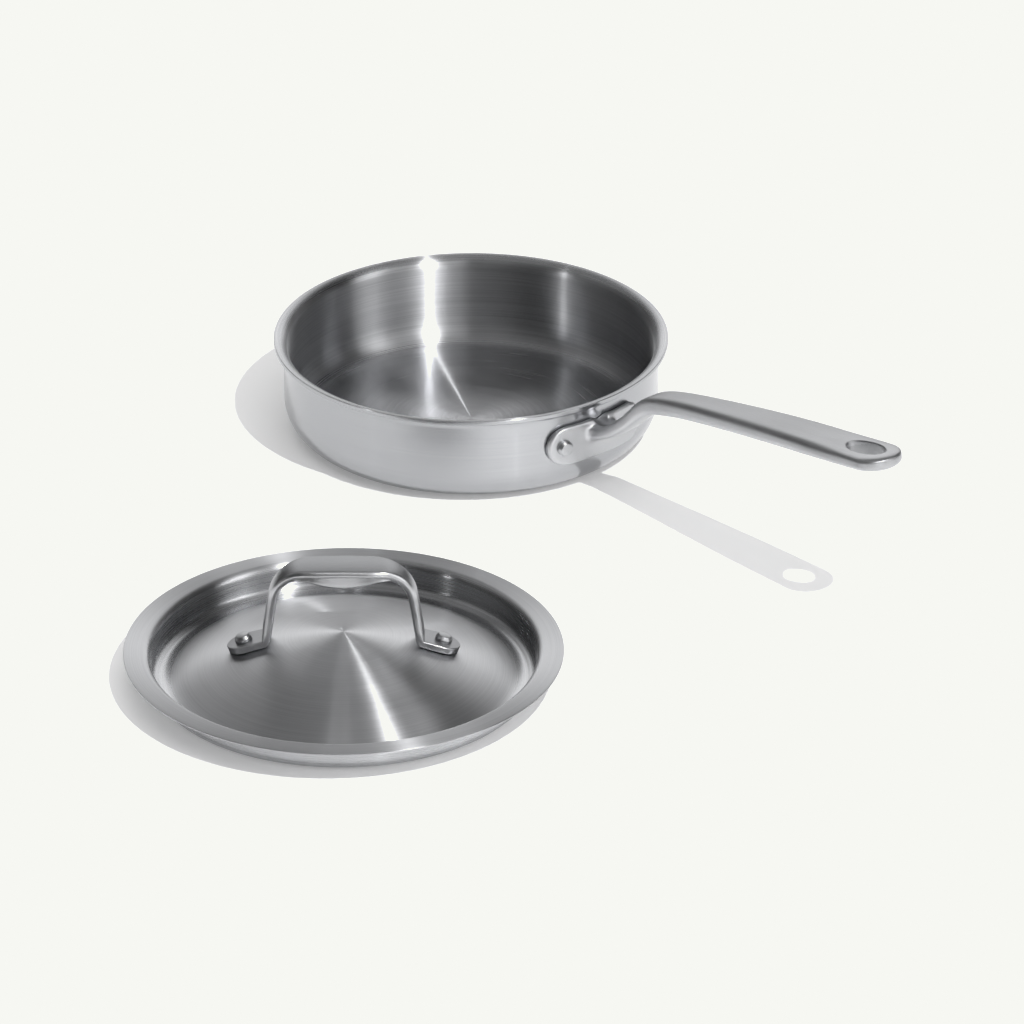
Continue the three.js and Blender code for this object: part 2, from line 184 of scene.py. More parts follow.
LINE = catmull(fine)
TAN = np.gradient(LINE[:, :2], axis=0)
TAN /= np.linalg.norm(TAN, axis=1)[:, None]
RUN = np.concatenate([[0], np.cumsum(np.linalg.norm(np.diff(LINE[:, :2], axis=0), axis=1))])
TIP_RUN = np.interp(TIP_X - TIP_R, LINE[:, 0], RUN)


def on_spine(x, z):
    """For points in the handle's middle plane: place along the centre line, height over it, half width and half thickness there."""
    p = np.stack([x, z], 1)
    best = np.zeros(len(p), int)
    coarse = LINE[::8, :2]
    for a in range(0, len(p), 20000):
        q = p[a:a + 20000]
        d = (q[:, None, 0] - coarse[None, :, 0]) ** 2 + (q[:, None, 1] - coarse[None, :, 1]) ** 2
        i0 = d.argmin(1) * 8
        near = np.clip(i0[:, None] + np.arange(-8, 9)[None], 0, len(LINE) - 1)
        dd = (q[:, None, 0] - LINE[near, 0]) ** 2 + (q[:, None, 1] - LINE[near, 1]) ** 2
        best[a:a + 20000] = near[np.arange(len(q)), dd.argmin(1)]
    off = p - LINE[best, :2]
    along = (off * TAN[best]).sum(1)
    step = np.interp(RUN[best] + along, RUN, np.arange(len(RUN)))
    lo = np.floor(step).astype(int).clip(0, len(LINE) - 2)
    f = (step - lo)[:, None]
    c = LINE[lo] * (1 - f) + LINE[lo + 1] * f
    t = TAN[lo] * (1 - f) + TAN[lo + 1] * f
    t /= np.linalg.norm(t, axis=1)[:, None]
    high = -(p[:, 0] - c[:, 0]) * t[:, 1] + (p[:, 1] - c[:, 1]) * t[:, 0]
    return RUN[best] + along, high, c[:, 2], c[:, 3] / 2, t


def soft_step(x, a, b):
    k = np.clip((x - a) / (b - a), 0, 1)
    return k * k * (3 - 2 * k)


def smin(a, b, k):
    h = np.maximum(k - np.abs(a - b), 0) / k
    return np.minimum(a, b) - h * h * h * k / 6


def smax(a, b, k):
    return -smin(-a, -b, k)


def ellipsoid(u, v, w, a, b, c):
    k0 = np.sqrt((u / a) ** 2 + (v / b) ** 2 + (w / c) ** 2) + 1e-9
    k1 = np.sqrt((u / a ** 2) ** 2 + (v / b ** 2) ** 2 + (w / c ** 2) ** 2) + 1e-9
    return k0 * (k0 - 1) / k1


def handle_field(x, y, z, spine):
    """Signed distance, nearly, to the handle's surface. spine is what on_spine gives for x and z."""
    run, high, hw, ht, _ = spine
    q = np.sqrt(np.maximum(run - TIP_RUN, 0) ** 2 + y ** 2)
    # a boxy section with a bevel along its upper edges, widest along the grip
    neck, tip = 1 - soft_step(x, 130, 185), soft_step(x, 280, 316)
    n = np.where(high > 0, 4.6, 2.6 + 0.6 * neck)
    bevel = 2.6 - 1.0 * neck - 1.5 * tip
    low = np.where(high > 0, 1, 1 + 0.15 * soft_step(x, 135, 155) * (1 - soft_step(x, 270, 310)))
    u, v = q / hw, np.abs(high) / (ht * low)
    g = u ** n + v ** n + 1e-9
    f = g ** (1 / n)
    slope = g ** (1 / n - 1) * np.sqrt((u ** (n - 1) / hw) ** 2 + (v ** (n - 1) / (ht * low)) ** 2) + 1e-6
    tube = np.maximum((f - 1) / slope, -6)
    tube = smax(tube, ((q - hw) * 0.68 + (high - ht + 0.92 * bevel) * 0.733), 2.2 - 1.2 * tip)
    rho = np.sqrt(x * x + y * y)
    tube = np.where(x < 90, 50.0, tube)
    out = np.sqrt(np.maximum(np.abs(y) - PLATE_HALF, 0) ** 2 + (z - PLATE_Z) ** 2) - PLATE_END_R
    thick = np.abs(rho - PLATE_IN - PLATE_T / 2) - PLATE_T / 2
    r = 1.6
    plate = np.hypot(np.maximum(out + r, 0), np.maximum(thick + r, 0)) + np.minimum(np.maximum(out + r, thick + r), 0) - r
    d = smin(tube, plate, 5.0)
    # a spoon-shaped hollow on top where the neck leaves the plate
    th = -0.262
    dx, dz = x - 111.8, z - 46.9
    scoop = ellipsoid(dx * math.cos(th) - dz * math.sin(th), y, dx * math.sin(th) + dz * math.cos(th), 11.9, 7.6, 8.2)
    d = smax(d, -scoop, 1.0)
    th = -0.13
    dx, dz = x - HOLE_X, z - HOLE_Z
    hole = ellipsoid(dx * math.cos(th) - dz * math.sin(th), y, 0.0, HOLE_A, HOLE_B, 1.0)
    d = smax(d, -hole, 1.0)
    return np.maximum(d, PLATE_IN - rho)


def nets(F, xs, ys, zs):
    """The surface where F is 0, as points and quads."""
    inside = F < 0
    s = [slice(None, -1), slice(1, None)]
    count = sum(inside[s[i], s[j], s[k]].astype(np.int8) for i in (0, 1) for j in (0, 1) for k in (0, 1))
    active = (count > 0) & (count < 8)
    idx = np.full(active.shape, -1, np.int64)
    idx[active] = np.arange(active.sum())
    I, J, K = np.nonzero(active)
    P, W = np.zeros((len(I), 3)), np.zeros(len(I))
    ends = [((a, b, c), tuple(int(v) for v in np.add((a, b, c), ax))) for ax in ((1, 0, 0), (0, 1, 0), (0, 0, 1))
            for a in (0, 1) for b in (0, 1) for c in (0, 1) if max(np.add((a, b, c), ax)) < 2]
    for p, q in ends:
        fa, fb = F[I + p[0], J + p[1], K + p[2]], F[I + q[0], J + q[1], K + q[2]]
        m = (fa < 0) != (fb < 0)
        t = np.where(m, fa / np.where(m, fa - fb, 1), 0)
        a = np.stack([xs[I + p[0]], ys[J + p[1]], zs[K + p[2]]], 1)
        b = np.stack([xs[I + q[0]], ys[J + q[1]], zs[K + q[2]]], 1)
        P += np.where(m[:, None], a + (b - a) * t[:, None], 0)
        W += m
    P /= W[:, None]
    quads = []
    for axis, order in ((0, ((0, -1, -1), (0, 0, -1), (0, 0, 0), (0, -1, 0))), (1, ((-1, 0, -1), (-1, 0, 0), (0, 0, 0), (0, 0, -1))),
                        (2, ((-1, -1, 0), (0, -1, 0), (0, 0, 0), (-1, 0, 0)))):
        lo = [slice(1, -1)] * 3
        hi = [slice(1, -1)] * 3
        lo[axis], hi[axis] = slice(0, -1), slice(1, None)
        a, b = inside[tuple(lo)], inside[tuple(hi)]
        for way in (True, False):
            at = np.stack(np.nonzero((a != b) & (a == way)), 1)
            at += np.array([0 if k == axis else 1 for k in range(3)])
            quad = np.stack([idx[at[:, 0] + o[0], at[:, 1] + o[1], at[:, 2] + o[2]] for o in order], 1)
            quads.append(quad if way else quad[:, ::-1])
    return P, np.concatenate(quads)


xs = np.concatenate([np.arange(97, 150, 0.55), np.arange(150, 296, 1.3), np.arange(296, 331.5, 0.6)])
ys = np.arange(-35.1, 35.2, 0.65)
zs = np.arange(17.5, 101.6, 0.6)
gx, gz = np.meshgrid(xs, zs, indexing="ij")
flat_spine = on_spine(gx.ravel(), gz.ravel())
spine2 = [a.reshape(gx.shape)[:, None, :] for a in flat_spine[:4]] + [None]
field = np.stack([handle_field(gx, y, gz, [a[:, 0, :] for a in spine2[:4]] + [None]) for y in ys], 1)
P, Q = nets(field, xs, ys, zs)


def field_at(p):
    return handle_field(p[:, 0], p[:, 1], p[:, 2], on_spine(p[:, 0], p[:, 2]))


def slope_at(p, e=0.05):
    g = np.zeros_like(p)
    for k in range(3):
        o = np.zeros(3)
        o[k] = e
        g[:, k] = (field_at(p + o) - field_at(p - o)) / (2 * e)
    return g


for _ in range(2):
    g = slope_at(P)
    P -= np.clip(field_at(P) / np.maximum((g * g).sum(1), 0.05), -0.5, 0.5)[:, None] * g
N = slope_at(P, 0.08)
N /= np.linalg.norm(N, axis=1)[:, None] + 1e-9
run, high, hw, ht, tan = on_spine(P[:, 0], P[:, 2])
T = np.stack([tan[:, 0], np.zeros(len(P)), tan[:, 1]], 1)
across = np.cross(T, N)
plain = np.linalg.norm(across, axis=1) < 0.35
across[plain] = (0, 0, 1)
across /= np.linalg.norm(across, axis=1)[:, None]
handle_satin = 0.42 + soft_step(P[:, 0], 130, 160) * (0.10 - 0.12 * soft_step(high, 1.5, 4.5)) - 0.06 * soft_step(P[:, 0], 288, 316)
handle = make("pan_handle_steel", P, Q, N, np.stack([run, P[:, 1], high], 1), across, satin=handle_satin)
# the wall of the hang hole is rougher than the grip and darker in colour, which is painted shade inside the hole
in_hole = np.hypot((P[:, 0] - HOLE_X) / HOLE_A, P[:, 1] / HOLE_B) < 1.015
handle.data.polygons.foreach_set("material_index", in_hole[Q].all(1).astype(np.int32))

# ------------------------------------------------------------------ rivets
RV = dict(shank=3.0, head=4.4, end=2.9, h=3.5)


def rivet(name, in_top, in_r2, in_h, shank, base, matrix, crown):
    # inner head, shank, then an outer head that tapers to a flat round end
    h, hr, er = RV["h"], RV["head"], RV["end"]
    pr = [(0, in_top - in_h), (0.5, in_top - in_h), (in_r2 * 0.45, in_top - in_h * 0.97)]
    pr += [(in_r2 * 0.45 + in_r2 * 0.55 * math.sin(a), in_top - in_h * (0.1 + 0.87 * math.cos(a))) for a in np.linspace(0.15, math.pi / 2, 10)]
    pr += [(in_r2 - 0.1, in_top), (shank, in_top), (shank, base), (hr - 0.2, base)]
    pr += arc(hr - 0.2, base + 0.2, 0.2, -90, 0, 3)
    pr += [(hr, base + h * 0.40)]
    pr += arc(hr - 0.5, base + h * 0.40, 0.5, 0, 48, 5)
    pr += arc(er + 0.05, base + h - 0.85, 0.6, 46, 78, 6)
    pr += [(r, base + h - 0.2 + (crown - 0.06) - crown * (r / er) ** 2) for r in (er * 0.85, er * 0.6, er * 0.3, 0.3, 0)]
    return lathe(name, pr, 64, matrix)


plate_out = PLATE_IN + PLATE_T
turn = math.asin(RIVET_Y / plate_out)
to_x = Matrix.Rotation(math.pi / 2, 4, "Y")
rivets = []
for side, s in (("left", -1), ("right", 1)):
    m = Matrix.Translation((0, 0, PLATE_Z)) @ Matrix.Rotation(s * turn, 4, "Z") @ to_x
    rivets.append(rivet("pan_rivet_" + side + "_steel", in_r - GAP - 0.15, 5.5, 1.8, RV["shank"], plate_out + GAP * 0.2, m, 0.1))

# ------------------------------------------------------------------ lid shell
slope = lambda r: DOME_RISE * DOME_POWER / DOME_END * (abs(r) / DOME_END) ** (DOME_POWER - 1)
tilt = math.atan(slope(DOME_END))
gx0, gz0 = SKIRT_R - GROOVE_R, GROOVE_R + LID_T
dome_start, dome_foot = gx0 - GROOVE_R * math.sin(tilt), gz0 - GROOVE_R * math.cos(tilt)
dome = lambda r: dome_foot + DOME_RISE * ((dome_start / DOME_END) ** DOME_POWER - (abs(r) / DOME_END) ** DOME_POWER)
td = math.degrees(tilt)
radii = [0, 0.5, 1.5, 3, 5, 8, 12] + list(np.arange(17, 88, 4.5))
under = lambda r: (r - LID_T * math.sin(math.atan(slope(r))), dome(r) - LID_T * math.cos(math.atan(slope(r))))
lip = 0.33
lid_profile = [(0, dome(0) - LID_T)] + [under(r) for r in radii[1:]]
lid_profile += arc(gx0, gz0, GROOVE_R + LID_T, 270 - td, 360, 18)
lid_profile += arc(BEND_C[0], BEND_C[1], BEND_R - LID_T, 180, 90, 12)
lid_profile += arc(LID_R - lip, LID_FLANGE_Z - LID_T + lip, lip, -90, 0, 4)
lid_profile += arc(LID_R - lip, LID_FLANGE_Z - lip, lip, 0, 90, 4)
lid_profile += arc(BEND_C[0], BEND_C[1], BEND_R, 90, 180, 14)
# the groove's bend runs softly into the dome
bend = np.array(arc(gx0, gz0, GROOVE_R, 360, 270 - td, 36) + [(r, dome(r)) for r in np.arange(dome_start - 0.4, 70, -0.4)])
step = np.concatenate([[0], np.cumsum(np.hypot(*np.diff(bend, axis=0).T))])
even = np.arange(0, step[-1], 0.4)
bend = np.stack([np.interp(even, step, bend[:, 0]), np.interp(even, step, bend[:, 1])], 1)
soft = bend.copy()
for _ in range(200):
    soft[1:-1] += 0.5 * ((soft[:-2] + soft[2:]) / 2 - soft[1:-1])
near = np.array([ease(abs(e - GROOVE_R * math.radians(90 + td)), 10.5, 5.0) if abs(e - GROOVE_R * math.radians(90 + td)) < 10.5 else 0 for e in even])[:, None]
bend = bend * (1 - near) + soft * near
lid_profile += [tuple(q) for q in bend]
lid_profile += [(r, dome(r)) for r in radii[::-1] if r < bend[-1][0] - 1]
lid_satin = lambda k, r, z: 0.335 - 0.11 * ease(r, DOME_END - 6, DOME_END + 1) + 0.05 * ease(r, DOME_END + 2, DOME_END + 7) + 0.085 * ease(r, BEND_C[0] - 3, BEND_C[0])
LID_M = Matrix.Translation((LID_X, LID_Y, 0)) @ Matrix.Rotation(LID_TURN, 4, "Z")
lid = lathe("lid_shell_steel", lid_profile, SEG, LID_M, satin=lid_satin)

# ------------------------------------------------------------------ lid handle: a strap swept along its arch
foot_z = lambda x: dome(x) + (GAP * 0.15 + STRAP_T / 2) / math.cos(math.atan(slope(x)))


def rounded(pts, radius, steps):
    out = [pts[0]]
    for i in range(1, len(pts) - 1):
        p, q, r = (np.array(pts[j], float) for j in (i - 1, i, i + 1))
        d0, d1 = (p - q) / np.linalg.norm(p - q), (r - q) / np.linalg.norm(r - q)
        ang = math.acos(d0 @ d1)
        mid = d0 + d1
        c = q + mid / np.linalg.norm(mid) * radius[i - 1] / math.sin(ang / 2)
        cut = radius[i - 1] / math.tan(ang / 2)
        a, b = q + d0 * cut - c, q + d1 * cut - c
        a0 = math.atan2(a[1], a[0])
        da = (math.atan2(b[1], b[0]) - a0 + math.pi) % (2 * math.pi) - math.pi
        out += [(c[0] + radius[i - 1] * math.cos(a0 + da * k / steps), c[1] + radius[i - 1] * math.sin(a0 + da * k / steps)) for k in range(steps + 1)]
    return out


half_path = [(x, STRAP_TOP_Z - 0.3 * (x / 16) ** 2) for x in (0, 4, 8, 12)]
half_path += rounded([(16.0, STRAP_TOP_Z - 0.3), (33.2, STRAP_TOP_Z - 1.4), (BEND_X, foot_z(BEND_X)), (44.5, foot_z(44.5))], [17.5, 2.6], 24)
half_path += [(x, foot_z(x)) for x in (46, 48, 50, FOOT_END_X - FOOT_HALF_W)]
half_path += [(x, foot_z(x)) for x in FOOT_END_X - FOOT_HALF_W * (1 - np.sin(np.linspace(0.08, 0.992, 22) * math.pi / 2))]
hp = np.array(half_path)
keep = np.concatenate([[True], np.linalg.norm(np.diff(hp, axis=0), axis=1) > 0.02])
hp = hp[keep]
# even steps along it, except at the rounded end
d = np.concatenate([[0], np.cumsum(np.linalg.norm(np.diff(hp, axis=0), axis=1))])
end_run = np.interp(FOOT_END_X - FOOT_HALF_W, hp[:, 0], d)
even = np.linspace(0, end_run, 110)
even = np.concatenate([even[:-1], d[d >= end_run - 1e-6]])
hp = np.stack([np.interp(even, d, hp[:, 0]), np.interp(even, d, hp[:, 1])], 1)
hr = even
path = np.concatenate([hp[:0:-1] * (-1, 1), hp])
prun = np.concatenate([-hr[:0:-1], hr])
ptan = np.gradient(path, axis=0)
ptan /= np.linalg.norm(ptan, axis=1)[:, None]
for _ in range(2):
    ptan[1:-1] = (ptan[:-2] + 2 * ptan[1:-1] + ptan[2:]) / 4
    ptan /= np.linalg.norm(ptan, axis=1)[:, None]
smooth = lambda x, a, b: (lambda k: k * k * (3 - 2 * k))(min(1, max(0, (x - a) / (b - a))))


def strap_width(x, z):
    ax = abs(x)
    if ax > 45:
        k = max(0, (ax - (FOOT_END_X - FOOT_HALF_W)) / FOOT_HALF_W)
        return FOOT_HALF_W * math.sqrt(max(0.0006, 1 - k * k))
    if z < 47:
        k = smooth(z, foot_z(BEND_X), 40)
        return FOOT_HALF_W - 0.3 + (LEG_HALF_W + 0.2 - FOOT_HALF_W + 0.3) * k
    return GRIP_HALF_W + (LEG_HALF_W - GRIP_HALF_W) * smooth(ax, 12, 40)


widths = np.array([strap_width(x, z) for x, z in path])
for _ in range(6):
    mid = np.abs(path[:, 0]) < 50
    sm = widths.copy()
    sm[1:-1] = (widths[:-2] + 2 * widths[1:-1] + widths[2:]) / 4
    widths = np.where(mid, sm, widths)


BELLY_FRONT = 6.4


def strap_section(w, swell, arch):
    """Half outline from the middle of the top: a crowned top, a roll, a narrow upright edge, then the underside with its finger belly."""
    h = STRAP_T / 2
    g = min(1, 2 * swell)
    roll, drop, crown = min(1.0 + 1.3 * arch, 0.5 * w), min(0.5 + 1.0 * arch, 0.3 * w), 0.9 * arch
    top = lambda y: h + crown * (1 - (y / w) ** 2) - drop * max(0, (y - w + roll) / roll) ** 2.4
    half = [(y, top(y)) for y in (w - roll) * np.array([0, 0.35, 0.7, 1.0])]
    half += [(y, top(y)) for y in w - roll + roll * np.array([0.2, 0.4, 0.6, 0.78, 0.92])]
    half += [(w, top(w) - 0.12)]
    # the belly's front leans out a little on its way down and turns sharply under
    hl = h - 0.9 * g
    front = [(w, -hl + 0.5), (w - 0.12, -hl + 0.36), (w - 0.4 - 1.6 * g, -hl + 0.36 - 0.1 * g)]
    rb = min(0.3 + 0.7 * g, 0.3 * w)
    yb, nb = w - 0.4 - 0.5 * g, -hl - BELLY_FRONT * swell + rb
    y0, n0 = front[-1]
    front += [(y0 + (yb - y0) * t, n0 + (nb - n0) * t) for t in (0.12, 0.35, 0.65, 1.0)]
    front += [(yb - rb + rb * math.cos(a), nb - rb * math.sin(a)) for a in np.linspace(0, math.pi / 2, 6)[1:]]
    rl = min(1.3, 0.35 * w)
    corner = [(w - rl + rl * math.cos(a), -hl + rl - rl * math.sin(a)) for a in np.linspace(0, math.pi / 2, len(front))]
    k = smooth(g, 0.0, 0.6)
    half += [(p[0] * k + q[0] * (1 - k), p[1] * k + q[1] * (1 - k)) for p, q in zip(front, corner)]
    half += [(half[-1][0] * t, half[-1][1]) for t in (0.6, 0.0)]
    return half + [(-y, n) for y, n in half[-2:0:-1]]


rings, rrun = [], []
for (x, z), (tx, tz), s, w in zip(path, ptan, prun, widths):
    swell = math.cos(math.pi * s / (2 * BELLY_HALF)) ** 2 if abs(s) < BELLY_HALF else 0.0
    sec = strap_section(w, swell, smooth(BEND_X + 1.5 - abs(x), 0, 3) * smooth(z, foot_z(BEND_X), foot_z(BEND_X) + 7))
    rings.append([(x - tz * n, y, z + tx * n) for y, n in sec])
rings = np.array(rings)
nr, nk = rings.shape[:2]
verts = rings.reshape(-1, 3)
faces = [(i * nk + j, i * nk + (j + 1) % nk, (i + 1) * nk + (j + 1) % nk, (i + 1) * nk + j) for i in range(nr - 1) for j in range(nk)]
faces += [tuple(range(nk))[::-1], tuple((nr - 1) * nk + j for j in range(nk))]
du = np.gradient(rings, axis=0)
dv = (np.roll(rings, -1, 1) - np.roll(rings, 1, 1))
nn = np.cross(dv, du)
ln = np.linalg.norm(nn, axis=2)
nn /= np.maximum(ln, 1e-9)[..., None]
mid_line = np.stack([path[:, 0], np.zeros(nr), path[:, 1]], 1)
if ((rings - mid_line[:, None]) * nn).sum() < 0:
    nn = -nn
vol = 0.0
for f in faces[:: max(1, len(faces) // 400)]:
    p = verts[list(f[:3])]
    c = p.mean(0)
    i = f[0] // nk
    vol += np.cross(p[1] - p[0], p[2] - p[0]) @ (c - mid_line[i])
if vol < 0:
    faces = [f[::-1] for f in faces]
per = np.concatenate([np.zeros((nr, 1)), np.cumsum(np.linalg.norm(np.diff(rings, axis=1), axis=2), axis=1)], 1)
bdir = dv / np.maximum(np.linalg.norm(dv, axis=2), 1e-9)[..., None]
ggrain = np.stack([np.repeat(prun[:, None], nk, 1), rings[:, :, 1], np.abs(per - per[:, nk // 2][:, None]) * 0.4], 2)
strap = make("lid_handle_steel", verts, faces, nn.reshape(-1, 3), ggrain.reshape(-1, 3), bdir.reshape(-1, 3), LID_M)

# the flat top is satin and has a darker colour, which is painted shade; the rolled edges and the underside are polished
# and lighter
flat_top = np.array([min(j, nk - j) < 5 for j in range(nk)])
strap.data.polygons.foreach_set("material_index", np.array([0 if len(f) == 4 and all(flat_top[v % nk] for v in f) else 1 for f in faces], np.int32))
foot_tilt = math.atan(slope(LID_RIVET_X))
for side, s in (("left", -1), ("right", 1)):
    m = LID_M @ Matrix.Translation((s * LID_RIVET_X, 0, dome(LID_RIVET_X))) @ Matrix.Rotation(s * foot_tilt, 4, "Y")
    rivets.append(rivet("lid_rivet_" + side + "_steel", -LID_T - GAP, 5.0, 1.6, 2.6, STRAP_T + GAP * 0.4, m, 0.26))


# ------------------------------------------------------------------ materials
def steel(name, dark, light, rough, aniso, fine_scale, broad_scale, lines=0.035, bump=0.06, spread=0.05, turned=0.0, detail=5.0):
    """Brushed steel. Fine lines run along the brushing and change the shade, gloss and surface a little; slow clouds vary it over the piece.
    rough None takes the mesh's own satin. turned is the share of the fine turning marks of a lathe, which draw a lamp out into a thin line."""
    mat = bpy.data.materials.new(name)
    mat.use_nodes = True
    nt = mat.node_tree
    bs = nt.nodes["Principled BSDF"]
    new, link = nt.nodes.new, nt.links.new
    at = new("ShaderNodeAttribute")
    at.attribute_name = "grain"

    def noise(scale, detail, rough_, out="Fac"):
        mp = new("ShaderNodeMapping")
        mp.inputs["Scale"].default_value = scale
        link(at.outputs["Vector"], mp.inputs["Vector"])
        nz = new("ShaderNodeTexNoise")
        nz.inputs["Scale"].default_value = 1.0
        nz.inputs["Detail"].default_value = detail
        nz.inputs["Roughness"].default_value = rough_
        link(mp.outputs["Vector"], nz.inputs["Vector"])
        return nz.outputs[out]

    fine_, broad = noise(fine_scale, detail, 0.62), noise(broad_scale, 3.0, 0.5)

    def mapped(v, a, b, lo=0.3, hi=0.7):
        m = new("ShaderNodeMapRange")
        m.inputs["From Min"].default_value, m.inputs["From Max"].default_value = lo, hi
        m.inputs["To Min"].default_value, m.inputs["To Max"].default_value = a, b
        link(v, m.inputs["Value"])
        return m.outputs["Result"]

    add = new("ShaderNodeMath")
    add.operation = "ADD"
    link(mapped(fine_, -0.5, 0.5), add.inputs[0])
    link(mapped(broad, 0.25, 0.75), add.inputs[1])
    ramp = new("ShaderNodeValToRGB")
    ramp.color_ramp.elements[0].color = (*dark, 1)
    ramp.color_ramp.elements[1].color = (*light, 1)
    link(add.outputs[0], ramp.inputs["Fac"])
    link(ramp.outputs["Color"], bs.inputs["Base Color"])
    radd = new("ShaderNodeMath")
    radd.operation = "ADD"
    link(mapped(fine_, (rough or 0) - lines, (rough or 0) + lines), radd.inputs[0])
    link(mapped(broad, -spread, spread), radd.inputs[1])
    if rough is None:
        own = new("ShaderNodeAttribute")
        own.attribute_name = "satin"
        both = new("ShaderNodeMath")
        both.operation = "ADD"
        link(radd.outputs[0], both.inputs[0])
        link(own.outputs["Fac"], both.inputs[1])
        radd = both
    link(radd.outputs[0], bs.inputs["Roughness"])
    if bump:
        bp = new("ShaderNodeBump")
        bp.inputs["Strength"].default_value = bump
        bp.inputs["Distance"].default_value = 0.0002
        link(fine_, bp.inputs["Height"])
        link(bp.outputs["Normal"], bs.inputs["Normal"])
    tg = new("ShaderNodeAttribute")
    tg.attribute_name = "brush"
    link(tg.outputs["Vector"], bs.inputs["Tangent"])
    bs.inputs["Metallic"].default_value = 1.0
    bs.inputs["Anisotropic"].default_value = aniso
    bs.inputs["IOR"].default_value = 1.45
    if turned:
        gl = new("ShaderNodeBsdfAnisotropic")
        gl.inputs["Roughness"].default_value = 0.284
        gl.inputs["Anisotropy"].default_value = -0.84
        link(ramp.outputs["Color"], gl.inputs["Color"])
        link(tg.outputs["Vector"], gl.inputs["Tangent"])
        mx = new("ShaderNodeMixShader")
        mx.inputs[0].default_value = turned
        link(bs.outputs[0], mx.inputs[1])
        link(gl.outputs[0], mx.inputs[2])
        link(mx.outputs[0], nt.nodes["Material Output"].inputs["Surface"])
    return mat


RINGS, CLOUDS = (1.7, 0.8, 0.8), (0.05, 1.2, 1.2)
# the pan's outer steel has a darker colour than its inside, which is painted shade on the outer wall; the two finishes
# also differ in gloss
M_OUT_PAINTED_DARK = steel("pan steel outside, painted darker", (0.366, 0.371, 0.383), (0.396, 0.401, 0.413), None, 0.6, RINGS, CLOUDS, 0.003, 0.005, 0.01, 0.03)
M_IN = steel("pan steel inside", (0.435, 0.440, 0.453), (0.555, 0.560, 0.573), None, 1.0, RINGS, CLOUDS, 0.02, 0, 0.02, 0.22, 2.0)
M_LID = steel("lid steel", (0.47, 0.475, 0.488), (0.56, 0.565, 0.578), None, 1.0, (2.2, 0.8, 0.8), CLOUDS, 0.02, 0.02, 0.02)
M_HANDLE = steel("handle steel", (0.435, 0.440, 0.452), (0.525, 0.530, 0.542), None, 0.5, (0.12, 3.2, 3.2), (0.02, 0.08, 0.08))
# the strap's flat top: satin, with a colour darker than its edges that is painted shade
M_STRAP_TOP_PAINTED_DARK = steel("strap top steel, painted darker", (0.35, 0.355, 0.367), (0.43, 0.435, 0.447), 0.38, 0.5, (0.12, 3.2, 3.2), (0.02, 0.08, 0.08))
M_EDGE = steel("strap edge steel", (0.46, 0.465, 0.477), (0.53, 0.535, 0.547), 0.30, 0.3, (0.12, 3.2, 3.2), (0.02, 0.08, 0.08), 0.008, 0, 0.01)
M_RIVET = steel("rivet steel", (0.38, 0.385, 0.395), (0.46, 0.465, 0.475), 0.34, 0.1, (2.0, 6.0, 6.0), (0.2, 1.0, 1.0))
# the hang hole's steel: rougher, with a darker colour that is painted shade in the hole
M_HOLE_PAINTED_SHADE = steel("hole steel, painted shade", (0.36, 0.364, 0.374), (0.43, 0.434, 0.445), 0.5, 0.2, (0.12, 3.2, 3.2), (0.02, 0.08, 0.08), 0.02, 0, 0.02)

for ob, mat, body, node, slot in (
        (pan, M_OUT_PAINTED_DARK, "pan", "pan_body", "pan_steel"), (handle, M_HANDLE, "pan", "pan_handle", "handle_steel"),
        (rivets[0], M_RIVET, "pan", "pan_rivet_left", "rivet_steel"), (rivets[1], M_RIVET, "pan", "pan_rivet_right", "rivet_steel"),
        (lid, M_LID, "lid", "lid_shell", "lid_steel"), (strap, M_STRAP_TOP_PAINTED_DARK, "lid", "lid_handle", "handle_steel"),
        (rivets[2], M_RIVET, "lid", "lid_rivet_left", "rivet_steel"), (rivets[3], M_RIVET, "lid", "lid_rivet_right", "rivet_steel")):
    ob.data.materials.append(mat)
    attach(ob, body)
    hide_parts(node)
for ob, mat in ((pan, M_IN), (handle, M_HOLE_PAINTED_SHADE), (strap, M_EDGE)):
    ob.data.materials.append(mat)

# ------------------------------------------------------------------ floor, light and camera
scene = bpy.context.scene
FLOOR = 6.0
me = bpy.data.meshes.new("floor")
me.from_pydata([(-FLOOR, -FLOOR, -0.0002), (FLOOR, -FLOOR, -0.0002), (FLOOR, FLOOR, -0.0002), (-FLOOR, FLOOR, -0.0002)], [], [(0, 1, 2, 3)])
floor = bpy.data.objects.new("floor", me)
scene.collection.objects.link(floor)
fm = bpy.data.materials.new("pale floor")
fm.use_nodes = True
fb = fm.node_tree.nodes["Principled BSDF"]
fb.inputs["Base Color"].default_value = (0.86, 0.86, 0.86, 1)
fb.inputs["Roughness"].default_value = 0.9
fb.inputs["Specular IOR Level"].default_value = 0.1
fb.inputs["Emission Color"].default_value = (1, 1, 1, 1)
fb.inputs["Emission Strength"].default_value = 0.20
me.materials.append(fm)

# a dim room with soft panels round it; each is an azimuth, an elevation, half its width and height, its soft edge (degrees) and its level
PANELS = (
    (136, 23.5, 27, 16.5, 7, 1.27),
    (-1, 31, 37, 27, 4, 0.66),
    (27, 27, 9, 18, 3, 2.10),
    (-155, 44, 34, 12, 8, 0.25),
    (-56, 30, 14, 16, 10, 0.20),
    (0, 90, 180, 34, 12, 0.29),
)
BACKDROP, ROOM = (0.922, 0.930, 0.888, 1), 0.05
world = bpy.data.worlds.new("studio")
scene.world = world
world.use_nodes = True
wt = world.node_tree
wnew, wlink = wt.nodes.new, wt.links.new
back = wt.nodes["Background"]


def math_node(op, a, b=None):
    n = wnew("ShaderNodeMath")
    n.operation = op
    for i, v in enumerate((a, b)):
        if v is None:
            continue
        if isinstance(v, (int, float)):
            n.inputs[i].default_value = v
        else:
            wlink(v, n.inputs[i])
    return n.outputs[0]


